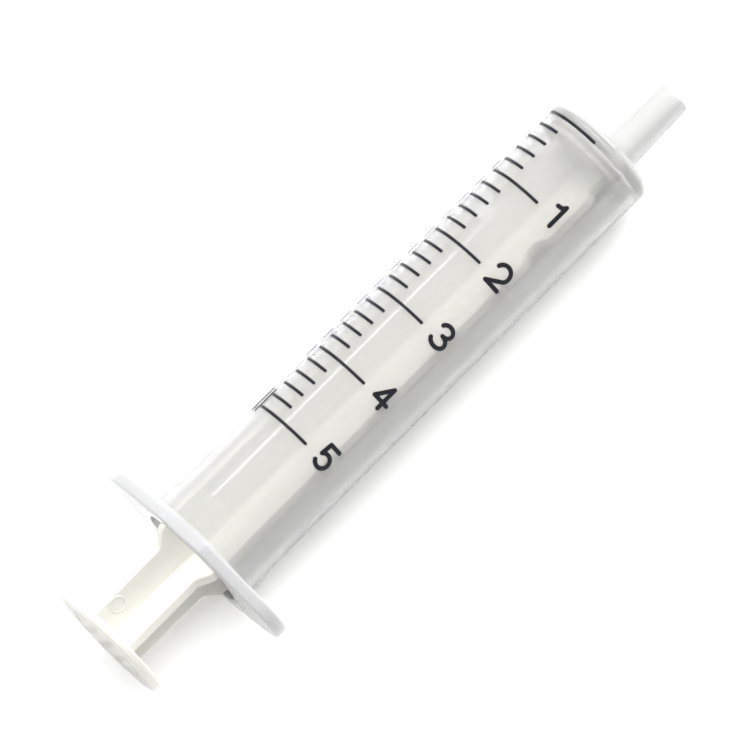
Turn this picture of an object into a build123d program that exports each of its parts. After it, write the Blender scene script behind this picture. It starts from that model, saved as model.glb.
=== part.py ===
"""Two-piece 5 mL oral syringe lying on its finger flange.

The barrel is a clear tube with a front wall, an off-centre nozzle and a winged finger flange.
The plunger is one moulding: a piston, a cross-shaped rod and a thumb disc.
The scale is printed on the outside of the barrel as thin marks of ink.

+X runs along the barrel towards the nozzle, +Y along the wings of the flange and +Z up.
The origin is the middle of the bottom of the whole syringe with the plunger pushed in.
Stations along the barrel are distances from the zero line, negative towards the thumb.
"""
from build123d import *
import os
from math import cos, pi, radians, sin

# Barrel, in mm
BORE_DIAMETER = 11.9
WALL = 0.9
CAPACITY_ML = 5
FRONT_WALL = 1.7
FRONT_CORNER_RADIUS = 0.9
BORE_CORNER_RADIUS = 0.3
SCALE_TO_FLANGE = 15.0
FLARE_LENGTH = 4.2
FLARE_RISE = 0.4
LEAD_IN_LENGTH = 3.0
LEAD_IN_RISE = 0.35

# Finger flange
FLANGE_THICKNESS = 1.55
FLANGE_SPAN = 26.2
FLANGE_FLAT_WIDTH = 6.0
FLANGE_STEP = 0.1
WING_TIP_RADIUS = 3.9
FLANGE_CORNER_RADIUS = 1.5
FLANGE_EDGE_RADIUS = 0.35

# Nozzle
NOZZLE_LENGTH = 9.2
NOZZLE_ROOT_DIAMETER = 4.5
NOZZLE_TIP_DIAMETER = 3.96
NOZZLE_BORE_DIAMETER = 2.1
NOZZLE_OFFSET = 1.8
NOZZLE_ROOT_FILLET = 0.5
NOZZLE_TIP_FILLET = 0.2

# Plunger
PISTON_LENGTH = 1.4
PISTON_CLEARANCE = 0.04
PISTON_END_GAP = 0.05
PISTON_CHAMFER = BORE_CORNER_RADIUS
SEAL_GROOVE_WIDTH = 0.4
SEAL_GROOVE_DEPTH = 0.35
ARM_THICKNESS = 1.1
ARM_CLEARANCE = 0.25
ARM_ANGLE = -35.0
FRONT_RELIEF_LENGTH = 2.0
FRONT_RELIEF_DEPTH = 1.0
FRONT_RELIEF_SLOPE = 1.2
NECK_STATION = 12.5
NECK_WIDTH = 3.2
NECK_DEPTH = 1.3
NECK_FILLET = 0.8
STEM_HALF_SPAN = 4.1
SHOULDER_LENGTH = 2.2
SHOULDER_FILLET = 1.4
STEM_REACH = 11.95
THUMB_DIAMETER = 14.4
THUMB_THICKNESS = 1.0
THUMB_EDGE_RADIUS = 0.3
DIMPLE_DIAMETER = 0.8
DIMPLE_DEPTH = 0.25
DIMPLE_PITCH = 2.3
DIMPLES_PER_RING = 6
DIMPLE_RINGS = 2
PIN_MARK_RADIUS = 1.0
PIN_MARK_WIDTH = 0.2
PIN_MARK_HEIGHT = 0.08
STEM_PIN_MARK_FROM_THUMB = 2.7
ROD_PIN_MARK_FROM_FLANGE = 6.1

# Printed scale
MARK_STEPS_PER_ML = 5
LINE_WIDTH = 0.35
INK_THICKNESS = 0.05
SCALE_START_ANGLE = -51.8
PRINT_TWIST_PER_ML = 1.52
SHORT_LINE_ARC = 32.8
LONG_LINE_ARC = 67.0
NUMERAL_ARC = 87.8
NUMERAL_HEIGHT = 3.2
NUMERAL_WIDTH = 2.4
NUMERAL_STROKE = 0.5
NUMERAL_AHEAD = 0.55
SIDE_PRINT_ARC = -11.4
SIDE_BAR_ARC = -2.6
SIDE_BAR_LENGTH = 3.4
SIDE_DASH_LENGTH = 1.6
SIDE_DASH_PITCH = 2.6
SIDE_DASH_FROM_LAST_LINE = 8.3
SIDE_DASH_FROM_ZERO_LINE = 7.0

# Sizes that follow from the ones above
bore_radius = BORE_DIAMETER / 2
barrel_radius = bore_radius + WALL
flare_radius = barrel_radius + FLARE_RISE
mm_per_ml = 1000 / (pi * bore_radius**2)
scale_length = CAPACITY_ML * mm_per_ml
flange_front = -(scale_length + SCALE_TO_FLANGE)
flange_rear = flange_front - FLANGE_THICKNESS
flange_half_height = flare_radius + FLANGE_STEP
thumb_front = flange_rear - STEM_REACH
thumb_rear = thumb_front - THUMB_THICKNESS
nozzle_tip = FRONT_WALL + NOZZLE_LENGTH
piston_radius = bore_radius - PISTON_CLEARANCE
arm_half_span = bore_radius - ARM_CLEARANCE

# The zero line stands where it puts the middle of the whole length at X = 0
zero_x = -(nozzle_tip + thumb_rear) / 2
axis_z = flange_half_height
barrel_axis = Axis((0, 0, axis_z), (1, 0, 0))
nozzle_axis = Axis((0, -NOZZLE_OFFSET, axis_z), (1, 0, 0))


def cross_plane(station, y=0.0):
    """Plane square to the barrel at a station, with its own x along Y and its own y along Z."""
    return Plane(origin=(zero_x + station, y, axis_z), x_dir=(0, 1, 0), z_dir=(1, 0, 0))


def axial_plane(angle, station=0.0, radius=0.0):
    """Plane that holds the barrel's axis, turned by an angle from straight up towards -Y.

    Its own x runs along the barrel and its own y straight out from the axis.
    """
    out = Vector(0, -sin(radians(angle)), cos(radians(angle)))
    origin = Vector(zero_x + station, 0, axis_z) + out * radius
    return Plane(origin=origin, x_dir=(1, 0, 0), z_dir=Vector(1, 0, 0).cross(out))


def tangent_plane(angle, station, radius):
    """Plane that touches the barrel at an angle, with its own y towards the nozzle."""
    out = Vector(0, -sin(radians(angle)), cos(radians(angle)))
    across = Vector(0, -cos(radians(angle)), -sin(radians(angle)))
    origin = Vector(zero_x + station, 0, axis_z) + out * radius
    return Plane(origin=origin, x_dir=across, z_dir=out)


def print_angle(station):
    """Angle at which the lines start, because the print runs slightly askew along the barrel."""
    return SCALE_START_ANGLE + PRINT_TWIST_PER_ML * -station / mm_per_ml


# Barrel: tube, flare and front wall as one turned profile, with the flange and the nozzle added
flare_start = flange_front + FLARE_LENGTH
lead_in_start = flange_rear + LEAD_IN_LENGTH
wing_tip_y = FLANGE_SPAN / 2 - WING_TIP_RADIUS
with BuildPart() as barrel:
    with BuildSketch(axial_plane(0)) as tube_profile:
        with BuildLine():
            Polyline(
                (flange_rear, 0),
                (flange_rear, flare_radius),
                (flange_front, flare_radius),
                (flare_start, barrel_radius),
                (FRONT_WALL, barrel_radius),
                (FRONT_WALL, 0),
                close=True,
            )
        make_face()
        front_corner = tube_profile.vertices().group_by(Axis.X)[-1].sort_by(Axis.Y)[-1]
        fillet(front_corner, FRONT_CORNER_RADIUS)
    revolve(axis=barrel_axis)
    with BuildSketch(cross_plane(flange_rear)) as flange_outline:
        Rectangle(FLANGE_FLAT_WIDTH, 2 * flange_half_height)
        with Locations((wing_tip_y, 0), (-wing_tip_y, 0)):
            Circle(WING_TIP_RADIUS)
        make_hull()
        rows = flange_outline.vertices().group_by(Axis.Y)
        fillet(rows[0] + rows[-1], FLANGE_CORNER_RADIUS)
    extrude(amount=FLANGE_THICKNESS)
    fillet(barrel.faces().sort_by(Axis.X)[0].outer_wire().edges(), FLANGE_EDGE_RADIUS)
    with BuildSketch(cross_plane(FRONT_WALL, -NOZZLE_OFFSET)):
        Circle(NOZZLE_ROOT_DIAMETER / 2)
    with BuildSketch(cross_plane(nozzle_tip, -NOZZLE_OFFSET)):
        Circle(NOZZLE_TIP_DIAMETER / 2)
    loft()
    fillet(barrel.faces().sort_by(Axis.X)[-1].outer_wire().edges(), NOZZLE_TIP_FILLET)
    nozzle_cone = barrel.faces().filter_by(GeomType.CONE).sort_by(Axis.X)[-1]
    fillet(nozzle_cone.edges().sort_by(Axis.X)[0], NOZZLE_ROOT_FILLET)
    with BuildSketch(axial_plane(0)) as bore_profile:
        with BuildLine():
            Polyline(
                (flange_rear, 0),
                (flange_rear, bore_radius + LEAD_IN_RISE),
                (lead_in_start, bore_radius),
                (0, bore_radius),
                (0, 0),
                close=True,
            )
        make_face()
        bore_corner = bore_profile.vertices().group_by(Axis.X)[-1].sort_by(Axis.Y)[-1]
        fillet(bore_corner, BORE_CORNER_RADIUS)
    revolve(axis=barrel_axis, mode=Mode.SUBTRACT)
    with BuildSketch(cross_plane(0, -NOZZLE_OFFSET)):
        Circle(NOZZLE_BORE_DIAMETER / 2)
    extrude(amount=nozzle_tip, mode=Mode.SUBTRACT)
barrel.part.label = "barrel"

# Plunger: a crossed pair of arms, a grooved piston in front and a dimpled thumb disc behind
piston_front = -PISTON_END_GAP
piston_rear = piston_front - PISTON_LENGTH
relief_end = piston_rear - FRONT_RELIEF_LENGTH
neck_radius = ((NECK_WIDTH / 2) ** 2 + NECK_DEPTH**2) / (2 * NECK_DEPTH)
arm_points = [
    (piston_rear, 0),
    (piston_rear, arm_half_span - FRONT_RELIEF_DEPTH),
    (relief_end, arm_half_span - FRONT_RELIEF_DEPTH),
    (relief_end - FRONT_RELIEF_SLOPE, arm_half_span),
    (flange_rear, arm_half_span),
    (flange_rear - SHOULDER_LENGTH, STEM_HALF_SPAN),
    (thumb_front, STEM_HALF_SPAN),
    (thumb_front, 0),
]
shoulder_range = (flange_rear - SHOULDER_LENGTH - 0.01, flange_rear + 0.01)
neck_range = (-NECK_STATION - NECK_WIDTH / 2 - 0.01, -NECK_STATION + NECK_WIDTH / 2 + 0.01)
with BuildPart() as plunger:
    for web_angle in (ARM_ANGLE, ARM_ANGLE + 90):
        with BuildSketch(axial_plane(web_angle)) as web:
            with BuildLine():
                Polyline(*arm_points, close=True)
            make_face()
            shoulder = web.vertices().filter_by_position(Axis.X, *shoulder_range)
            fillet(shoulder, SHOULDER_FILLET)
            with Locations((-NECK_STATION, arm_half_span + neck_radius - NECK_DEPTH)):
                Circle(neck_radius, mode=Mode.SUBTRACT)
            neck = web.vertices().filter_by_position(Axis.X, *neck_range)
            fillet(neck, NECK_FILLET)
            mirror(about=Plane.XZ)
        extrude(amount=ARM_THICKNESS / 2, both=True)
    with BuildSketch(axial_plane(ARM_ANGLE + 45)):
        with BuildLine():
            groove_front = piston_front - (PISTON_LENGTH - SEAL_GROOVE_WIDTH) / 2
            groove_rear = groove_front - SEAL_GROOVE_WIDTH
            Polyline(
                (piston_front, 0),
                (piston_front, piston_radius - PISTON_CHAMFER),
                (piston_front - PISTON_CHAMFER, piston_radius),
                (groove_front, piston_radius),
                (groove_front, piston_radius - SEAL_GROOVE_DEPTH),
                (groove_rear, piston_radius - SEAL_GROOVE_DEPTH),
                (groove_rear, piston_radius),
                (piston_rear, piston_radius),
                (piston_rear, 0),
                close=True,
            )
        make_face()
    revolve(axis=barrel_axis)
    with BuildSketch(cross_plane(thumb_rear)):
        Circle(THUMB_DIAMETER / 2)
    extrude(amount=THUMB_THICKNESS)
    thumb_rims = plunger.edges().filter_by(GeomType.CIRCLE).group_by(SortBy.RADIUS)[-1]
    fillet(thumb_rims, THUMB_EDGE_RADIUS)
    with BuildSketch(cross_plane(thumb_rear)):
        Circle(DIMPLE_DIAMETER / 2)
        for ring in range(1, DIMPLE_RINGS + 1):
            with PolarLocations(ring * DIMPLE_PITCH, ring * DIMPLES_PER_RING):
                Circle(DIMPLE_DIAMETER / 2)
    extrude(amount=DIMPLE_DEPTH, mode=Mode.SUBTRACT)
    # Ring marks left by the mould's ejector pins, on the web that faces up
    pin_marks = [
        (thumb_front + STEM_PIN_MARK_FROM_THUMB, STEM_HALF_SPAN - PIN_MARK_RADIUS - PIN_MARK_WIDTH),
        (flange_front + ROD_PIN_MARK_FROM_FLANGE, arm_half_span - PIN_MARK_RADIUS - PIN_MARK_WIDTH),
    ]
    with BuildSketch(axial_plane(ARM_ANGLE).offset(ARM_THICKNESS / 2)):
        with Locations(*pin_marks):
            Circle(PIN_MARK_RADIUS)
            Circle(PIN_MARK_RADIUS - PIN_MARK_WIDTH, mode=Mode.SUBTRACT)
    extrude(amount=PIN_MARK_HEIGHT)
plunger.part.label = "plunger"

pieces = [barrel.part, plunger.part]

# Scale lines: thin arcs of ink around the barrel, one every 0.2 mL and a longer one at each mL
line_count = CAPACITY_ML * MARK_STEPS_PER_ML + 1
for index in range(line_count):
    volume = index / MARK_STEPS_PER_ML
    station = -volume * mm_per_ml
    arc = LONG_LINE_ARC if index % MARK_STEPS_PER_ML == 0 else SHORT_LINE_ARC
    start = print_angle(station)
    with BuildPart() as scale_line:
        with BuildSketch(axial_plane(start, station, barrel_radius + INK_THICKNESS / 2)):
            Rectangle(LINE_WIDTH, INK_THICKNESS)
        revolve(axis=barrel_axis, revolution_arc=arc)
        ends = scale_line.edges().filter_by(GeomType.LINE).group_by(SortBy.LENGTH)[0]
        fillet(ends, 0.45 * LINE_WIDTH)
    scale_line.part.label = f"line_{volume:.1f}_ml".replace(".", "_")
    pieces.append(scale_line.part)

# A thin shell around the barrel, from which the numerals and the side print are cut
with BuildPart(cross_plane(flare_start)) as ink_shell:
    Cylinder(barrel_radius + INK_THICKNESS, -flare_start, align=(Align.CENTER, Align.CENTER, Align.MIN))
    Cylinder(barrel_radius, -flare_start, align=(Align.CENTER, Align.CENTER, Align.MIN), mode=Mode.SUBTRACT)

# Each numeral is one pen path on a field from -1 to 1 both ways
pen_x = (NUMERAL_WIDTH - NUMERAL_STROKE) / 2
pen_y = (NUMERAL_HEIGHT - NUMERAL_STROKE) / 2


def draw_numeral(digit):
    """Draws the centre line of a digit as lines and arcs."""
    if digit == 1:
        Polyline((-0.8 * pen_x, 0.62 * pen_y), (-0.2 * pen_x, 0.7 * pen_y), (0.1 * pen_x, pen_y), (0.1 * pen_x, -pen_y))
    elif digit == 2:
        bowl = CenterArc((0, pen_y - pen_x), pen_x, 160, -200)
        Polyline(bowl @ 1, (-pen_x, -pen_y), (pen_x, -pen_y))
    elif digit == 3:
        upper = 0.48 * pen_y
        lower = pen_y - upper
        EllipticalCenterArc((0, pen_y - upper), 0.86 * pen_x, upper, 160, arc_size=-250)
        EllipticalCenterArc((0, lower - pen_y), pen_x, lower, 90, arc_size=-250)
    elif digit == 4:
        Polyline((0.35 * pen_x, -pen_y), (0.35 * pen_x, pen_y), (-pen_x, -0.4 * pen_y), (pen_x, -0.4 * pen_y))
    elif digit == 5:
        bowl = CenterArc((-0.05 * pen_x, 0.88 * pen_x - pen_y), 0.88 * pen_x, 140, -290)
        Polyline(bowl @ 0, (-0.6 * pen_x, pen_y), (0.8 * pen_x, pen_y))
    elif digit == 6:
        bowl = CenterArc((0, 0.9 * pen_x - pen_y), 0.9 * pen_x, 150, 360)
        Line(bowl @ 0, (0.4 * pen_x, pen_y))
    elif digit == 7:
        Polyline((-pen_x, pen_y), (pen_x, pen_y), (-0.3 * pen_x, -pen_y))
    elif digit == 8:
        upper = 0.46 * pen_y
        lower = pen_y - upper
        EllipticalCenterArc((0, pen_y - upper), 0.8 * pen_x, upper, 90, arc_size=360)
        EllipticalCenterArc((0, lower - pen_y), pen_x, lower, 90, arc_size=360)
    elif digit == 9:
        bowl = CenterArc((0, pen_y - 0.9 * pen_x), 0.9 * pen_x, -30, 360)
        Line(bowl @ 0, (-0.4 * pen_x, -pen_y))


for digit in range(1, CAPACITY_ML + 1):
    station = -digit * mm_per_ml
    middle = print_angle(station) + NUMERAL_ARC
    with BuildPart() as numeral:
        with BuildSketch(tangent_plane(middle, station + NUMERAL_AHEAD, barrel_radius)):
            with BuildLine(mode=Mode.PRIVATE) as pen:
                draw_numeral(digit)
            for stroke in pen.edges():
                trace(stroke, NUMERAL_STROKE)
                with Locations(stroke @ 0, stroke @ 1):
                    Circle(NUMERAL_STROKE / 2)
        extrude(amount=WALL, both=True)
        add(ink_shell.part, mode=Mode.INTERSECT)
    numeral.part.label = f"numeral_{digit}"
    pieces.append(numeral.part)

# Side print: a plain pair of bars beside the last line and a row of plain dashes
with BuildPart() as side_bars:
    for bar_arc in (SIDE_PRINT_ARC, SIDE_BAR_ARC):
        bar_angle = print_angle(-scale_length) + bar_arc
        with BuildSketch(tangent_plane(bar_angle, SIDE_BAR_LENGTH / 4 - scale_length, barrel_radius)):
            SlotOverall(SIDE_BAR_LENGTH, LINE_WIDTH, rotation=90)
    extrude(amount=WALL, both=True)
    add(ink_shell.part, mode=Mode.INTERSECT)
side_bars.part.label = "side_bars"
pieces.append(side_bars.part)

first_dash = SIDE_DASH_FROM_LAST_LINE - scale_length
dash_count = int((-SIDE_DASH_FROM_ZERO_LINE - first_dash) / SIDE_DASH_PITCH) + 1
with BuildPart() as side_dashes:
    for index in range(dash_count):
        station = first_dash + index * SIDE_DASH_PITCH
        dash_angle = print_angle(station) + SIDE_PRINT_ARC
        with BuildSketch(tangent_plane(dash_angle, station, barrel_radius)):
            SlotOverall(SIDE_DASH_LENGTH, LINE_WIDTH, rotation=90)
    extrude(amount=WALL, both=True)
    add(ink_shell.part, mode=Mode.INTERSECT)
side_dashes.part.label = "side_dashes"
pieces.append(side_dashes.part)

for piece in pieces:
    print(piece.label, len(piece.solids()), round(piece.volume, 3))
os.makedirs("parts", exist_ok=True)
for piece in pieces:
    export_step(piece, f"parts/{piece.label}.step")
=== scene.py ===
# %% [markdown]
# # A two-piece oral syringe in Blender
# An oral syringe is a clear barrel with a printed scale and a white plunger that slides in it.
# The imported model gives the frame: every place is in metres and comes from its boxes or from the sizes
# below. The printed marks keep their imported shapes. The barrel and the plunger are made again as smooth
# surfaces, because clear plastic shows every facet and every sharp edge.

# %% Frame and tools
import bpy
import numpy as np
from math import atan2, cos, pi, radians, sin, tan
from mathutils import Matrix, Vector


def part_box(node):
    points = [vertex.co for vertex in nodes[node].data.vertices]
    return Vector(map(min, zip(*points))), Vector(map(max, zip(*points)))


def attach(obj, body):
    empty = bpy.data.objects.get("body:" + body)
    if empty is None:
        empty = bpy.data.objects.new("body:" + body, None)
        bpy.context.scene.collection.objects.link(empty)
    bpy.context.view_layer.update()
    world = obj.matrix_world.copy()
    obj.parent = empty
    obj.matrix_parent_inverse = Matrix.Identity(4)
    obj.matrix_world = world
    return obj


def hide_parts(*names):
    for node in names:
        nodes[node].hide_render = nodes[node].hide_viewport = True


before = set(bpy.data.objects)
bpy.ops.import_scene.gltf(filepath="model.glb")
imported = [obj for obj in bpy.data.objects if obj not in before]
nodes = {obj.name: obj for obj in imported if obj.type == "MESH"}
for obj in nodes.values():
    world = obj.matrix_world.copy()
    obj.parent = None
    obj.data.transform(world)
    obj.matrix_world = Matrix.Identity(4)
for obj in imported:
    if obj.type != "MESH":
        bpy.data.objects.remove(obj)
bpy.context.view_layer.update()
MM = 0.001

# %% [markdown]
# ## Sizes
# A maker's drawing gives a moulding as a few lengths, radii and roundings. They are repeated here in
# millimetres, and the places along the barrel are stations: distances from the zero line, negative
# towards the thumb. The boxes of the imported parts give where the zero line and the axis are.

# %% Sizes in millimetres
bore_radius, wall = 5.95, 0.9
barrel_radius = bore_radius + wall
front_wall, front_corner, nozzle_tip = 1.7, 0.9, 10.9
flange_front, flange_rear = -59.955, -61.505
flange_flat, flare_radius, flare_start = 7.35, 7.25, -55.755
lead_in_rise, lead_in_start = 0.35, -58.505
nozzle_offset, nozzle_bore, nozzle_root_radius, nozzle_tip_radius = 1.8, 1.05, 2.25, 1.98
arm_half_thickness, arm_half_span = 0.55, 5.7
stem_half_span, thumb_front, thumb_rear = 4.1, -73.455, -74.455
shoulder_length, thumb_radius, piston_radius = 2.2, 7.2, 5.91
piston_front, piston_rear = -0.05, -1.45
relief_length, relief_depth, relief_slope = 2.0, 1.0, 1.2
neck_station, neck_width, neck_depth = -12.5, 3.2, 1.3

# The plunger is turned round its own axis, so one web leans 35 degrees from upright, towards +Y
web_angle = -35

low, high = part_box("barrel")
zero_x = high.x / MM - nozzle_tip
axis_z = (low.z + high.z) / 2 / MM
print("zero line at x =", round(zero_x, 3), "axis at z =", round(axis_z, 3))

# %% [markdown]
# ## From a grid of points to a closed mesh
# Both mouldings are made of rings of points. Row after row of rings, joined by four-sided faces, is a
# skin. The skin of a tube closes on itself like a ring doughnut: outside, nozzle, bore, inside, mouth
# and back. The skin of a solid piece ends in a single point at each end. One function does both, and
# it prints the volume inside the skin, which is only positive when the faces point outwards.

# %% Skin over a grid of points
def skin(name, points, looped=False):
    """Mesh over points[row, column, xyz] in mm, whose columns always close into rings.

    With looped, the last ring joins the first. Otherwise the first and the last ring are poles, all of
    whose points are at one place, so each is one vertex with a fan of triangles.
    """
    rows, columns = points.shape[:2]
    here = np.arange(columns)
    after = (here + 1) % columns
    if looped:
        verts = points.reshape(-1, 3)
        first = np.arange(rows)[:, None] * columns
        second = (np.arange(rows)[:, None] + 1) % rows * columns
    else:
        verts = np.vstack([points[1:-1].reshape(-1, 3), points[0, :1], points[-1, :1]])
        first = np.arange(rows - 3)[:, None] * columns
        second = first + columns
    quads = np.stack([first + here, first + after, second + after, second + here], -1).reshape(-1, 4)
    fans = np.empty((0, 3), int)
    if not looped:
        last = (rows - 3) * columns
        start = np.stack([after, here, np.full(columns, len(verts) - 2)], -1)
        end = np.stack([last + here, last + after, np.full(columns, len(verts) - 1)], -1)
        fans = np.vstack([start, end])
    mesh = bpy.data.meshes.new(name)
    mesh.vertices.add(len(verts))
    mesh.vertices.foreach_set("co", (verts * MM).astype(np.float32).ravel())
    corners = np.concatenate([quads.ravel(), fans.ravel()]).astype(np.int32)
    starts = np.concatenate([np.arange(len(quads)) * 4, len(quads) * 4 + np.arange(len(fans)) * 3])
    mesh.loops.add(len(corners))
    mesh.loops.foreach_set("vertex_index", corners)
    mesh.polygons.add(len(starts))
    mesh.polygons.foreach_set("loop_start", starts.astype(np.int32))
    mesh.update(calc_edges=True)
    mesh.validate()
    mesh.polygons.foreach_set("use_smooth", np.ones(len(mesh.polygons), bool))
    piece = bpy.data.objects.new(name, mesh)
    bpy.context.scene.collection.objects.link(piece)
    triangles = np.vstack([quads[:, [0, 1, 2]], quads[:, [0, 2, 3]], fans])
    a, b, c = (verts[triangles[:, k]] for k in range(3))
    volume = (a * np.cross(b, c)).sum() / 6
    print(f"{name}: {len(triangles)} triangles, {volume:.1f} mm3 inside")
    return piece


# %% [markdown]
# ## A rounded profile
# A mould tool has no perfectly sharp edge, and an edge that catches the light is what makes plastic look
# moulded. So a profile is given as corners, each with a radius, and a function swaps each corner for an
# arc. It also adds a point close to each end of an arc, which keeps the shading of the straight stretch
# from being pulled round into the bend.

# %% Corners to arcs
def rounded(corners, steps=6, hold=0.04):
    """Path through corners (x, r, radius), each swapped for an arc that touches both its lines.

    The arc's centre is on the corner's bisector, at the radius over the sine of half the angle, and the
    points on it turn evenly from one tangent point to the other.
    """
    given = np.array(corners, float)
    path = [given[:1, :2]]
    for before, corner, after in zip(given[:-2], given[1:-1], given[2:]):
        back = (before[:2] - corner[:2]) / np.linalg.norm(before[:2] - corner[:2])
        onward = (after[:2] - corner[:2]) / np.linalg.norm(after[:2] - corner[:2])
        half = np.arccos(np.clip(back @ onward, -1, 1)) / 2
        reach = corner[2] / np.tan(half)
        if reach < 1e-6:
            path.append(corner[None, :2])
            continue
        middle = corner[:2] + (back + onward) / np.linalg.norm(back + onward) * corner[2] / np.sin(half)
        start, end = corner[:2] + back * reach - middle, corner[:2] + onward * reach - middle
        share = np.linspace(0, 1, steps + 1)[:, None]
        turn = pi - 2 * half
        arc = middle + (np.sin((1 - share) * turn) * start + np.sin(share * turn) * end) / np.sin(turn)
        path.append(np.vstack([arc[0] + back * hold, arc, arc[-1] + onward * hold]))
    path.append(given[-1:, :2])
    return np.vstack(path)


# %% [markdown]
# ## The barrel
# The barrel is one shot of polypropylene: a tube with a thin front wall, a nozzle set off to one side,
# and a finger flange with two wings. It could be cut out of solids with booleans, but those leave slivers
# that flash in clear plastic. Here it is one doughnut of rings. Each ring is a circle round the barrel's
# axis, or round the nozzle's axis, or the flange's outline, or a mixture of two of them, so the skin goes
# from one to the other without a seam.

# %% Flange outline as a distance for each angle
COLUMNS = 288
angle = np.arange(COLUMNS) * 2 * pi / COLUMNS
wing_radius, wing_y = 3.9, 9.2
flat_half, flat_height, flat_corner = 2.655, 5.85, 1.5


def flange_reach(angles):
    """Distance from the axis to the flange's edge, at angles measured from +Y towards +Z.

    The outline is a band stretched round two wing tips and two flats. Seen from any direction, the band
    is as far out as the furthest of the round pegs inside it, and the edge at an angle is the least of
    those distances, each divided by the cosine between the two directions.
    """
    facing = np.linspace(0, 2 * pi, 2880, endpoint=False)
    wings = wing_y * abs(np.cos(facing)) + wing_radius
    flats = flat_half * abs(np.cos(facing)) + flat_height * abs(np.sin(facing)) + flat_corner
    band = np.maximum(wings, flats)
    between = np.cos(angles[:, None] - facing[None, :])
    return np.where(between > 0.2, band / np.maximum(between, 0.2), np.inf).min(1)


reach = flange_reach(angle)
print("flange reaches", round(reach.max(), 2), "mm at the wings and", round(reach.min(), 2), "at the flats")

# %% Profile of the barrel, outside and inside
outside = rounded([
    (flange_front, flare_radius - 0.6, 0),
    (flange_front, flare_radius, 0),
    (flange_front + 0.35, flare_radius - 0.02, 0.3),
    (flare_start, barrel_radius, 6.0),
    (front_wall, barrel_radius, front_corner),
    (front_wall, 5.2, 0),
])[2:]
nozzle = rounded([
    (front_wall, 3.3, 0),
    (front_wall, nozzle_root_radius, 0.5),
    (nozzle_tip, nozzle_tip_radius, 0.22),
    (nozzle_tip, nozzle_bore, 0.12),
    (0.0, nozzle_bore, 0.12),
    (0.0, 1.6, 0),
])
inside = rounded([
    (0.0, 5.0, 0),
    (0.0, bore_radius, 0.3),
    (lead_in_start, bore_radius, 4.0),
    (flange_rear, bore_radius + lead_in_rise, 0.15),
    (flange_rear, 6.9, 0),
])


def divided(profile, longest):
    """The profile with extra points on each run that is longer than the given length, evenly spread."""
    run = np.hypot(*np.diff(profile, axis=0).T)
    count = np.maximum(np.ceil(run / longest).astype(int), 1)
    share = (np.arange(count.sum()) - np.repeat(np.cumsum(count) - count, count)) / np.repeat(count, count)
    start, step = np.repeat(profile[:-1], count, 0), np.repeat(np.diff(profile, axis=0), count, 0)
    return np.vstack([start + step * share[:, None], profile[-1:]])


outside, nozzle, inside = (divided(profile, 1.0) for profile in (outside, nozzle, inside))
print("profile rings:", len(outside), len(nozzle), len(inside))

# %% Rings of the barrel
RIM = 0.35


def circle_rings(profile, offset=0.0):
    """Rings of a turned profile: each point (x, r) is a circle of radius r, centred at -offset in y."""
    x, r = profile[:, :1], profile[:, 1:]
    ring_y, ring_z = r * np.cos(angle) - offset, r * np.sin(angle)
    return np.stack([np.broadcast_to(x, ring_y.shape), ring_y, ring_z], -1)


def flange_rings():
    """Rings over the flange, from the mouth out over the rear face, round the rim and in to the flare.

    A ring on a face is part of the way from a circle to the outline. The rear rim turns with one radius,
    and the front rim with a radius that follows how far the flange stands out from the tube there.
    """
    soft = np.minimum(0.3, 0.45 * (reach - flare_radius) + 0.02)
    share = np.array([0.0, 0.25, 0.5, 0.75, 0.97])[:, None]
    rear_r = 7.0 + (reach - RIM - 7.0) * share
    rear_x = np.full_like(rear_r, flange_rear)
    quarter = np.linspace(0, pi / 2, 7)[:, None]
    back_r = reach - RIM + RIM * np.sin(quarter)
    back_x = np.broadcast_to(flange_rear + RIM * (1 - np.cos(quarter)), back_r.shape)
    fore_r = reach - soft + soft * np.cos(quarter)
    fore_x = flange_front - soft + soft * np.sin(quarter)
    share = np.array([0.03, 0.3, 0.6, 0.9])[:, None]
    front_r = (reach - soft) + (flare_radius - reach + soft) * share
    front_x = np.full_like(front_r, flange_front)
    r = np.vstack([rear_r, back_r, fore_r, front_r])
    x = np.vstack([rear_x, back_x, fore_x, front_x])
    return np.stack([x, r * np.cos(angle), r * np.sin(angle)], -1)


rows = np.concatenate([
    circle_rings(outside),
    circle_rings(nozzle, nozzle_offset),
    circle_rings(inside),
    flange_rings(),
])
barrel = skin("barrel_shell", rows + np.array([zero_x, 0, axis_z]), looped=True)

# %% [markdown]
# Clear plastic turns milky where it is thick, and its edges look darker where it is thin, because the
# line of sight runs a long way inside the wall. The finish needs to know which is which, so two numbers
# are stored at each point: "thick" is 1 over the flange and less over the front wall and the nozzle, and
# "thin" is 1 over the tube, a little less over the nozzle and 0 over the rest.

# %% How thick the plastic is under each point
def ramp(values, start, end):
    """Goes smoothly from 0 at start to 1 at end: 3 times the share squared, less 2 times its cube."""
    share = np.clip((values - start) / (end - start), 0, 1)
    return share**2 * (3 - 2 * share)


# The tube ends 6.85 mm from the axis, the front wall starts at the zero line and the nozzle at 1.7 mm
at, beyond = rows[..., 0], np.hypot(rows[..., 1], rows[..., 2])
in_flange = ramp(beyond, 6.9, 7.3) * (at < flange_front + 0.05)
in_front, in_nozzle = ramp(at, -0.2, 0.8), ramp(at, 1.6, 3.0)
depth = in_flange + 0.2 * in_front + 0.3 * in_nozzle
thin = 1 - in_flange - in_front + 0.8 * in_nozzle
for name, values in (("thick", depth), ("thin", thin)):
    layer = barrel.data.attributes.new(name, "FLOAT", "POINT")
    layer.data.foreach_set("value", values.astype(np.float32).ravel())
print("share of the points over thick plastic:", round(float((depth > 0.3).mean()), 2))

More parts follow.
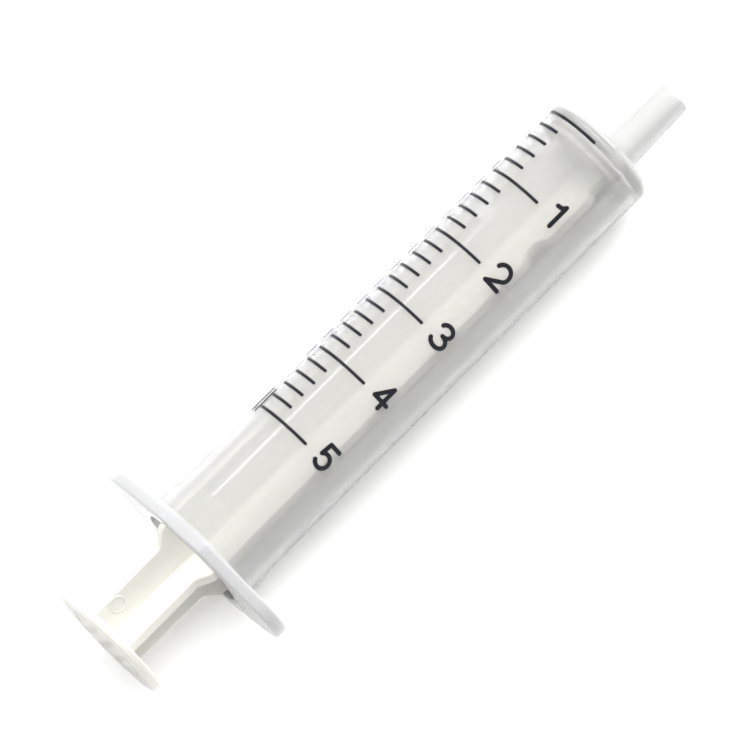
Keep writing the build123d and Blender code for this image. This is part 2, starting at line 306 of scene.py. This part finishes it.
# %% [markdown]
# ## The plunger
# The plunger is one shot of polyethylene: two crossed webs with a grooved piston in front and a thumb disc
# behind. Crossing two boxes would do for a far view, but the real webs swell into each other with a small
# fillet, their edges are rounded, and their width follows a curve along the rod. So a ring here is the
# outline of the cross, whose width is a function of the station, and at both ends it opens out into
# circles without a seam.

# %% Outline of the cross
SIDE, EDGE = 28, 5
ROOT, CORNER = 0.3, 0.16
side_angles = np.linspace(pi / 4, radians(10.5), SIDE)


def cross_outline(span):
    """Outline of the cross for each half span: array of (y, z) pairs along one turn, in the webs' own frame.

    One side of a web is met by rays from the axis at even angles. A ray ends on the fillet between two
    webs, a circle that touches both, or on the web's flat side at the half thickness over its sine.
    Past the last ray come the rounded edge and the mirror image, and three turned copies make the cross.
    """
    h, span = arm_half_thickness, np.atleast_1d(span)[:, None]
    along = (h + ROOT) * (np.cos(side_angles) + np.sin(side_angles))
    inside_root = along**2 - 2 * (h + ROOT) ** 2 + ROOT**2
    on_root = along - np.sqrt(np.maximum(inside_root, 0))
    on_side = h / np.sin(side_angles)
    in_fillet = side_angles > atan2(h, h + ROOT)
    ray = np.where(in_fillet, on_root, on_side)
    quarter = np.linspace(0, pi / 2, EDGE)
    y = np.hstack([
        np.broadcast_to(ray * np.cos(side_angles), (len(span), SIDE)),
        span - 0.28 + 0 * span,
        span - CORNER + CORNER * np.sin(quarter),
        span,
    ])
    z = np.hstack([ray * np.sin(side_angles), [h], h - CORNER + CORNER * np.cos(quarter), [0.14]])
    z = np.broadcast_to(z, y.shape)
    y, z = np.hstack([y, y[:, ::-1][:, :-1]]), np.hstack([z, -z[:, ::-1][:, :-1]])
    y, z = y[:, ::-1], z[:, ::-1]
    return np.stack([np.hstack([y, -z, -y, z]), np.hstack([z, y, -z, -y])], -1)


sample = cross_outline(5.0)[0]
turned = np.unwrap(np.arctan2(sample[:, 1], sample[:, 0]))
print("cross outline:", len(sample), "points, always turning one way:", bool((np.diff(turned) > 0).all()))

# %% Half span along the rod
def soft_least(a, b, k):
    """The lesser of a and b, with the corner between them rounded off over a height k."""
    return np.minimum(a, b) - np.maximum(k - abs(a - b), 0) ** 2 / (4 * k)


def half_span(station):
    """Half width of the webs: a relief behind the piston, full width, a round neck, and a narrower stem.

    The neck is an arc through its two lips and its bottom, so its radius is the sum of the squares of
    the half width and the depth, over twice the depth.
    """
    up_slope = np.clip((piston_rear - relief_length - station) / relief_slope, 0, 1)
    relief = arm_half_span - relief_depth * (1 - up_slope)
    neck_radius = ((neck_width / 2) ** 2 + neck_depth**2) / (2 * neck_depth)
    from_neck = np.minimum(abs(station - neck_station), neck_radius)
    neck = arm_half_span - neck_depth + neck_radius - np.sqrt(neck_radius**2 - from_neck**2)
    drop = ramp(station, flange_rear, flange_rear - shoulder_length)
    stem = arm_half_span - (arm_half_span - stem_half_span) * drop
    return np.minimum(soft_least(soft_least(relief, arm_half_span, 0.1), neck, 0.35), stem)


stations = np.concatenate([
    [piston_rear, piston_rear - 0.04, piston_rear - 0.12],
    np.linspace(-3.2, -5.4, 16),
    np.linspace(-9.6, -15.4, 44),
    np.linspace(-17, -60, 18),
    np.linspace(-61.3, -63.9, 20),
    [-66, -70, thumb_front + 0.12, thumb_front + 0.04, thumb_front],
])
spans = half_span(stations)
print("half span from", round(spans.min(), 2), "to", round(spans.max(), 2), "mm over", len(stations), "rings")

# %% [markdown]
# The fingertip grip on the thumb disc is a pattern of small round dimples. They are part of the surface:
# the height of the rear face is a function of place, and each dimple is a bowl with a rounded lip. The
# rings on that face are 0.08 mm apart, which is close enough to keep each dimple round.

# %% Thumb disc and piston as rings
dimple_radius, dimple_slope, dimple_sink, dimple_pitch = 0.62, 0.35, 0.4, 2.3
dimple_places = [(0.0, 0.0)] + [
    (ring * dimple_pitch * cos(k * pi / 3 / ring), ring * dimple_pitch * sin(k * pi / 3 / ring))
    for ring in (1, 2)
    for k in range(6 * ring)
]
print("dimples:", len(dimple_places))


def pit_depth(y, z):
    """Depth of the rear face at (y, z): a smooth bowl round the middle of the nearest dimple."""
    near = np.full(y.shape, thumb_radius)
    for place in dimple_places:
        near = np.minimum(near, np.hypot(y - place[0], z - place[1]))
    return dimple_sink * ramp(near, dimple_radius, dimple_radius - dimple_slope)


def disc_rings(profile, outline):
    """Rings of a turned profile whose points lie at the same angles as the outline of the cross."""
    around = np.arctan2(outline[:, 1], outline[:, 0])
    x, r = profile[:, :1], profile[:, 1:]
    ring_y, ring_z = r * np.cos(around), r * np.sin(around)
    return np.stack([np.broadcast_to(x, ring_y.shape), ring_y, ring_z], -1)


piston_profile = rounded([
    (piston_front, 0.0, 0),
    (piston_front, piston_radius, 0.28),
    (-0.55, piston_radius, 0.05),
    (-0.55, piston_radius - 0.35, 0.08),
    (-0.95, piston_radius - 0.35, 0.08),
    (-0.95, piston_radius, 0.05),
    (piston_rear, piston_radius, 0.12),
    (piston_rear, 5.0, 0),
], steps=5, hold=0.03)
thumb_profile = rounded([
    (thumb_front, 5.0, 0),
    (thumb_front, thumb_radius, 0.3),
    (thumb_rear, thumb_radius, 0.3),
    (thumb_rear, 6.4, 0),
], steps=7, hold=0.05)
face_r = np.concatenate([np.linspace(6.2, 0.08, 76), [0.0]])
face_profile = np.stack([np.full_like(face_r, thumb_rear), face_r], -1)

cross = cross_outline(spans)
rod = np.concatenate([np.broadcast_to(stations[:, None, None], (*cross.shape[:2], 1)), cross], -1)
front_ring, stem_ring = cross[0], cross[-1]
piston_face = disc_rings(piston_profile, front_ring)
thumb_face = disc_rings(face_profile, stem_ring)

# The dimples turn with the disc
web_turn = radians(90 + web_angle)
pits = pit_depth(thumb_face[..., 1], thumb_face[..., 2])
thumb_face[..., 0] += pits
rows = np.concatenate([piston_face, rod, disc_rings(thumb_profile, stem_ring), thumb_face])

# Painted shade: darker towards the piston, over the rear face of the thumb disc, and most in the dimples
painted_shade = ramp(rows[..., 0], -5.0, -1.6)
painted_shade[-len(pits):] = 0.4 + 1.2 * pits / dimple_sink
y, z = rows[..., 1].copy(), rows[..., 2].copy()
rows[..., 1] = y * cos(web_turn) - z * sin(web_turn)
rows[..., 2] = y * sin(web_turn) + z * cos(web_turn)
plunger = skin("plunger_moulding", rows[::-1] + np.array([zero_x, 0, axis_z]))
painted_shade = painted_shade[::-1]
poles = [painted_shade[0, 0], painted_shade[-1, 0]]
layer = plunger.data.attributes.new("painted_shade", "FLOAT", "POINT")
layer.data.foreach_set("value", np.append(painted_shade[1:-1].ravel(), poles).astype(np.float32))

# %% [markdown]
# Round ejector pins push the moulding out of its tool, and each leaves a faint raised ring. They are low
# rings laid into the web, made as a circle of small oval sections.

# %% Ejector pin marks
def pin_mark(name, station, along):
    """Low ring on the face of a web: an ellipse carried round a circle, with its lower half sunk in."""
    ring_radius, half_width, height = 0.9, 0.1, 0.08
    around = np.linspace(0, 2 * pi, 72, endpoint=False)
    section = np.linspace(0, 2 * pi, 16, endpoint=False)
    r = ring_radius + half_width * np.cos(section)[:, None]
    lift = arm_half_thickness + height * np.sin(section)[:, None] + 0 * around
    side_x, side_r = station + r * np.cos(around), along + r * np.sin(around)
    out = Vector((0, -sin(radians(web_angle)), cos(radians(web_angle))))
    normal = Vector((1, 0, 0)).cross(out)
    points = side_x[..., None] * np.array([1, 0, 0]) + side_r[..., None] * np.array(out)
    points = points + lift[..., None] * np.array(normal)
    return skin(name, points + np.array([zero_x, 0, axis_z]), looped=True)


from_edge = 1.2
marks = [
    pin_mark("pin_mark_stem", thumb_front + 2.7, stem_half_span - from_edge),
    pin_mark("pin_mark_rod", flange_front + 6.1, arm_half_span - from_edge),
]

# %% [markdown]
# ## Colours and nodes
# Colours are given as on a screen, and the renderer works with light, so one function turns the one into
# the other. One more function adds a node with its settings and links.

# %% Colour and node helpers
def linear(hex_code):
    """Light values of an sRGB hex colour: each part is raised to the power that a screen applies."""
    parts = np.array([int(hex_code[k:k + 2], 16) for k in (1, 3, 5)]) / 255
    light = np.where(parts <= 0.04045, parts / 12.92, ((parts + 0.055) / 1.055) ** 2.4)
    return (*[float(v) for v in light], 1.0)


def add_node(tree, kind, inputs=None, **settings):
    """Adds a node. Each input is a plain value or another node's output."""
    made = tree.nodes.new(kind)
    for key, value in settings.items():
        setattr(made, key, value)
    for key, value in (inputs or {}).items():
        if isinstance(value, bpy.types.NodeSocket):
            tree.links.new(value, made.inputs[key])
        else:
            made.inputs[key].default_value = value
    return made


def new_material(name):
    """An empty material and its node tree with an output."""
    material = bpy.data.materials.new(name)
    material.use_nodes = True
    material.node_tree.nodes.clear()
    return material, material.node_tree, material.node_tree.nodes.new("ShaderNodeOutputMaterial")


# %% [markdown]
# ## Clear moulded polypropylene
# Polypropylene without pigment is clear in a thin wall, with a faint milkiness, because its crystals
# scatter a little light. A polished tool leaves it glossy, with very slow waves and a few faint scuffs.
# To the eye it is a soft line of light, a slight veil over what is inside, grey where it is seen edge
# on, and nearly white where it is thick.

# %% Polypropylene: surface
clear, tree, out = new_material("clear_moulded_polypropylene")
place = add_node(tree, "ShaderNodeTexCoord").outputs["Object"]

# Flow waves from the mould are about 6 mm across and four times as long
stretch = add_node(tree, "ShaderNodeMapping", {"Vector": place, "Scale": (0.25, 1.0, 1.0)}).outputs["Vector"]
flow = add_node(tree, "ShaderNodeTexNoise", {"Vector": stretch, "Scale": 1 / (5.6 * MM), "Detail": 1.0})
waves = add_node(
    tree, "ShaderNodeBump", {"Height": flow.outputs["Fac"], "Strength": 0.025, "Distance": 0.02 * MM}
)

# Scuffs are about 0.4 mm across, and thick plastic is a little rougher to the light
scuff = add_node(
    tree, "ShaderNodeTexNoise",
    {"Vector": place, "Scale": 1 / (0.38 * MM), "Detail": 4.0, "Roughness": 0.6},
)
rub = add_node(
    tree, "ShaderNodeMapRange",
    {"Value": scuff.outputs["Fac"], "From Min": 0.35, "From Max": 0.7, "To Min": 0.07, "To Max": 0.12},
)
thick = add_node(tree, "ShaderNodeAttribute", attribute_name="thick").outputs["Fac"]
gloss = add_node(
    tree, "ShaderNodeMath", {0: thick, 1: 0.2, 2: rub.outputs["Result"]}, operation="MULTIPLY_ADD"
)
clearness = add_node(tree, "ShaderNodeMapRange", {"Value": thick, "To Min": 0.75, "To Max": 0.0})

# %% Polypropylene: colour and light inside
tint = add_node(tree, "ShaderNodeMix", {"Factor": thick}, data_type="RGBA")
for number, colour in ((6, "#E8E8E7"), (7, "#C3C3C4")):
    tint.inputs[number].default_value = linear(colour)
edge_on = add_node(tree, "ShaderNodeLayerWeight", {"Blend": 0.5}).outputs["Facing"]
is_thin = add_node(tree, "ShaderNodeAttribute", attribute_name="thin").outputs["Fac"]
slant = add_node(tree, "ShaderNodeMapRange", {"Value": edge_on, "From Min": 0.25, "To Max": is_thin})
tint = add_node(
    tree, "ShaderNodeMix",
    {"Factor": slant.outputs["Result"], 6: tint.outputs[2], 7: linear("#B2B2B5")},
    data_type="RGBA",
)
body = add_node(
    tree, "ShaderNodeBsdfPrincipled",
    {
        "Base Color": tint.outputs[2], "Roughness": gloss.outputs["Value"], "IOR": 1.49,
        "Transmission Weight": clearness.outputs["Result"], "Normal": waves.outputs["Normal"],
        "Subsurface Weight": 0.5, "Subsurface Scale": 1 * MM, "Subsurface Radius": (1.0, 1.0, 1.0),
    },
)
loss = add_node(tree, "ShaderNodeVolumeAbsorption", {"Color": linear("#95938E"), "Density": 40.0})
tree.links.new(loss.outputs["Volume"], out.inputs["Volume"])

# %% [markdown]
# A path tracer finds it hard to send light through a bent, clear wall, so what is inside would be too
# dark. Rays that look for a lamp are let straight through, each wall holding back a little. The lamps
# are then hidden from rays that have been bent by the wall, or their light would be counted twice.

# %% Polypropylene: lamp light goes straight through
lamp_ray = add_node(tree, "ShaderNodeLightPath").outputs["Is Shadow Ray"]
through = add_node(tree, "ShaderNodeBsdfTransparent", {"Color": linear("#F2F2F1")})
mix = add_node(
    tree, "ShaderNodeMixShader", {0: lamp_ray, 1: body.outputs["BSDF"], 2: through.outputs["BSDF"]}
)
tree.links.new(mix.outputs["Shader"], out.inputs["Surface"])
print("clear plastic nodes:", len(tree.nodes))

# %% [markdown]
# ## White moulded polyethylene
# The plunger is high-density polyethylene: waxy, off-white and a little see-through, so light softens in
# it before it comes back. Its tool isn't polished, so the gloss is low and the surface has a fine grain.
# It is painted greyer where shade falls: painted shade towards the piston, over the rear face of the
# thumb disc, which looks away from the lamps, and most of all down in the dimples.

# %% Polyethylene
white, tree, out = new_material("white_moulded_polyethylene")
place = add_node(tree, "ShaderNodeTexCoord").outputs["Object"]

# Flow marks are about 2.4 mm across and eight times as long, and the grain is about 0.15 mm across
stretch = add_node(tree, "ShaderNodeMapping", {"Vector": place, "Scale": (0.12, 1.0, 1.0)}).outputs["Vector"]
flow = add_node(tree, "ShaderNodeTexNoise", {"Vector": stretch, "Scale": 1 / (2.4 * MM), "Detail": 3.0})
grain = add_node(tree, "ShaderNodeTexNoise", {"Vector": place, "Scale": 1 / (0.15 * MM), "Detail": 3.0})

# Painted shade darkens both tones to two thirds at most
tone = add_node(tree, "ShaderNodeMix", {"Factor": flow.outputs["Fac"]}, data_type="RGBA")
for number, colour in ((6, "#DFDED8"), (7, "#E5E4DE")):
    tone.inputs[number].default_value = linear(colour)
shade_amount = add_node(tree, "ShaderNodeAttribute", attribute_name="painted_shade").outputs["Fac"]
kept = add_node(tree, "ShaderNodeMapRange", {"Value": shade_amount, "To Min": 1.0, "To Max": 0.66})
tone = add_node(
    tree, "ShaderNodeVectorMath", {0: tone.outputs[2], "Scale": kept.outputs["Result"]}, operation="SCALE"
)

# Low gloss, with the flow marks and the grain as bumps
gloss = add_node(
    tree, "ShaderNodeMapRange", {"Value": grain.outputs["Fac"], "To Min": 0.36, "To Max": 0.5}
)
waves = add_node(
    tree, "ShaderNodeBump", {"Height": flow.outputs["Fac"], "Strength": 0.3, "Distance": 0.06 * MM}
)
fine = add_node(
    tree, "ShaderNodeBump",
    {
        "Height": grain.outputs["Fac"], "Normal": waves.outputs["Normal"],
        "Strength": 0.3, "Distance": 0.01 * MM,
    },
)
body = add_node(
    tree, "ShaderNodeBsdfPrincipled",
    {
        "Base Color": tone.outputs["Vector"], "Roughness": gloss.outputs["Result"], "IOR": 1.54,
        "Subsurface Weight": 0.3, "Subsurface Scale": 0.5 * MM, "Subsurface Radius": (1.0, 0.95, 0.8),
        "Normal": fine.outputs["Normal"],
    },
)
tree.links.new(body.outputs["BSDF"], out.inputs["Surface"])
print("white plastic nodes:", len(tree.nodes))

# %% [markdown]
# ## Printed ink
# The scale is screen printed in black. The ink is a thin, slightly glossy film, a touch blue where it is
# thin, and the screen leaves a fine mottle in it. The row of dashes on the far side of the barrel gets a
# light blue-grey ink: painted light, standing for the milky veil that the wall in front lays over it.

# %% Ink
def printed_ink(name, dense, sparse):
    """Screen-printed film with a mottle, 0.19 mm across, between two colours: dense and sparse."""
    ink, tree, out = new_material(name)
    place = add_node(tree, "ShaderNodeTexCoord").outputs["Object"]
    mottle = add_node(tree, "ShaderNodeTexNoise", {"Vector": place, "Scale": 1 / (0.19 * MM), "Detail": 3.0})
    tone = add_node(tree, "ShaderNodeMix", {"Factor": mottle.outputs["Fac"]}, data_type="RGBA")
    for number, colour in ((6, dense), (7, sparse)):
        tone.inputs[number].default_value = linear(colour)
    gloss = add_node(
        tree, "ShaderNodeMapRange", {"Value": mottle.outputs["Fac"], "To Min": 0.28, "To Max": 0.5}
    )
    film = add_node(
        tree, "ShaderNodeBump", {"Height": mottle.outputs["Fac"], "Strength": 0.3, "Distance": 0.01 * MM}
    )
    body = add_node(
        tree, "ShaderNodeBsdfPrincipled",
        {
            "Base Color": tone.outputs[2], "Roughness": gloss.outputs["Result"], "IOR": 1.5,
            "Normal": film.outputs["Normal"],
        },
    )
    tree.links.new(body.outputs["BSDF"], out.inputs["Surface"])
    return ink


ink = printed_ink("black_screen_printed_ink", "#101116", "#23242C")
# The far-side dashes get a light blue-grey ink: painted light for the wall's milky veil over them
painted_veil_ink = printed_ink("painted_veil_screen_printed_ink", "#6E7080", "#A3A5B4")
print("inks:", ink.name, painted_veil_ink.name)

# %% Pieces get their finish and their body
barrel.data.materials.append(clear)
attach(barrel, "barrel")
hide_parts("barrel")
for piece in (plunger, *marks):
    piece.data.materials.append(white)
    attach(piece, "plunger")
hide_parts("plunger")
printed = [name for name in nodes if name not in ("barrel", "plunger")]
for name in printed:
    mesh = nodes[name].data
    mesh.materials.clear()
    mesh.materials.append(painted_veil_ink if name == "side_dashes" else ink)
print("printed pieces:", len(printed))

# %% [markdown]
# ## Floor
# The syringe lies on the flat of its flange and on the front of its barrel, which is half a millimetre
# nearer to the axis, so the floor is a sloping plane through those two places. It is matt white card, and
# it glows a little to stand for the light that a white room sends back and forth.

# %% Floor
slope = (flange_flat - barrel_radius) / (front_wall - front_corner - flange_front)
edge, gap = 3.0, 0.02 * MM
floor_mesh = bpy.data.meshes.new("floor")
foot_x = (zero_x + flange_front) * MM
xs, ys = np.meshgrid(np.linspace(-edge, edge, 3), np.linspace(-edge, edge, 3))
zs = slope * (xs - foot_x) - gap
floor_verts = np.stack([xs, ys, zs], -1).reshape(-1, 3)
floor_mesh.from_pydata(floor_verts.tolist(), [], [(0, 1, 4, 3), (1, 2, 5, 4), (3, 4, 7, 6), (4, 5, 8, 7)])
floor = bpy.data.objects.new("floor", floor_mesh)
bpy.context.scene.collection.objects.link(floor)
print("floor rises", round(slope / MM, 2), "mm per metre towards the nozzle")

# %% White card, with fibres about 1.1 mm across
WHITE = linear("#FFFFFF")
paper, tree, out = new_material("matt_white_card")
place = add_node(tree, "ShaderNodeTexCoord").outputs["Object"]
fibre = add_node(tree, "ShaderNodeTexNoise", {"Vector": place, "Scale": 1 / (1.1 * MM), "Detail": 4.0})
tone = add_node(tree, "ShaderNodeMix", {"Factor": fibre.outputs["Fac"]}, data_type="RGBA")
for number, colour in ((6, "#F7F7F7"), (7, "#FBFBFB")):
    tone.inputs[number].default_value = linear(colour)
body = add_node(
    tree, "ShaderNodeBsdfPrincipled",
    {
        "Base Color": tone.outputs[2], "Roughness": 0.8, "Specular IOR Level": 0.2,
        "Emission Color": WHITE, "Emission Strength": 0.24,
    },
)
tree.links.new(body.outputs["BSDF"], out.inputs["Surface"])
floor_mesh.materials.append(paper)
print("card nodes:", len(tree.nodes))

# %% [markdown]
# ## Light
# A white room gives soft light from all sides, and is brighter to the camera than to the syringe. Three
# soft boxes do the rest. A big one overhead gives the even light and the soft shadow, and isn't mirrored
# in the barrel, where it would be a broad white band. A narrow one, further over to the +Y side, is the
# thin line of light along the barrel. A small one past the nozzle lights the faces that look that way.

# %% White room
world = bpy.data.worlds.new("white_room")
bpy.context.scene.world = world
world.use_nodes = True
sky = world.node_tree.nodes["Background"]
seen = add_node(world.node_tree, "ShaderNodeLightPath").outputs["Is Camera Ray"]
power = add_node(world.node_tree, "ShaderNodeMapRange", {"Value": seen, "To Min": 0.3, "To Max": 0.95})
sky.inputs["Color"].default_value = WHITE
world.node_tree.links.new(power.outputs["Result"], sky.inputs["Strength"])
print("room light:", [round(power.inputs[key].default_value, 2) for key in ("To Min", "To Max")])

# %% Soft boxes
aim_station = -33.57
axis_point = Vector((zero_x + aim_station, 0, axis_z)) * MM


def placed(right, up, back, spot):
    """Matrix of a lamp or a camera at a spot, with its own axes pointing right, up and back."""
    turn = Matrix((right, up, back)).transposed().to_4x4()
    turn.translation = spot
    return turn


def soft_box(name, from_vertical, lean, distance, length, width, watts):
    """Area light aimed at the barrel: turned from straight up towards +Y, and leaned towards the nozzle."""
    lamp = bpy.data.lights.new(name, "AREA")
    lamp.shape = "RECTANGLE"
    lamp.size, lamp.size_y = length, width
    lamp.energy = watts
    holder = bpy.data.objects.new(name, lamp)
    bpy.context.scene.collection.objects.link(holder)
    holder.visible_transmission = False
    direction = Vector((tan(radians(lean)), sin(radians(from_vertical)), cos(radians(from_vertical))))
    direction.normalize()
    side = Vector((1, 0, 0)) - direction * direction.x
    side.normalize()
    holder.matrix_world = placed(side, direction.cross(side), direction, axis_point + direction * distance)
    return holder


overhead = soft_box(
    "overhead_soft_box", from_vertical=14, lean=22, distance=0.9, length=1.2, width=1.0, watts=15.0
)
overhead.visible_glossy = False
soft_box("strip_soft_box", from_vertical=33, lean=-14, distance=0.9, length=0.8, width=0.08, watts=1.4)
soft_box("end_soft_box", from_vertical=-10, lean=62, distance=0.9, length=0.5, width=0.6, watts=2.4)
lamps = [item.name for item in bpy.context.scene.objects if item.type == "LIGHT"]
print("lamps:", lamps)

# %% [markdown]
# ## Camera
# A long lens far above the syringe, with the barrel lying diagonally across the view.

# %% Camera
azimuth, elevation, distance, roll = radians(-19.63), radians(66.78), 0.7449, radians(-26.92)
back = Vector((sin(azimuth) * cos(elevation), -cos(azimuth) * cos(elevation), sin(elevation)))
level = Vector((0, 0, 1)).cross(back).normalized()
upright = back.cross(level)
right = level * cos(roll) + upright * sin(roll)
up = back.cross(right)
camera_data = bpy.data.cameras.new("camera")
camera_data.lens, camera_data.sensor_width = 333.0, 36.0
camera = bpy.data.objects.new("camera", camera_data)
bpy.context.scene.collection.objects.link(camera)
spot = axis_point + back * distance
camera.matrix_world = placed(right, up, back, spot)
bpy.context.scene.camera = camera
bpy.context.scene.view_settings.view_transform = "Standard"
print("camera at", [round(v / MM, 1) for v in spot], "mm")
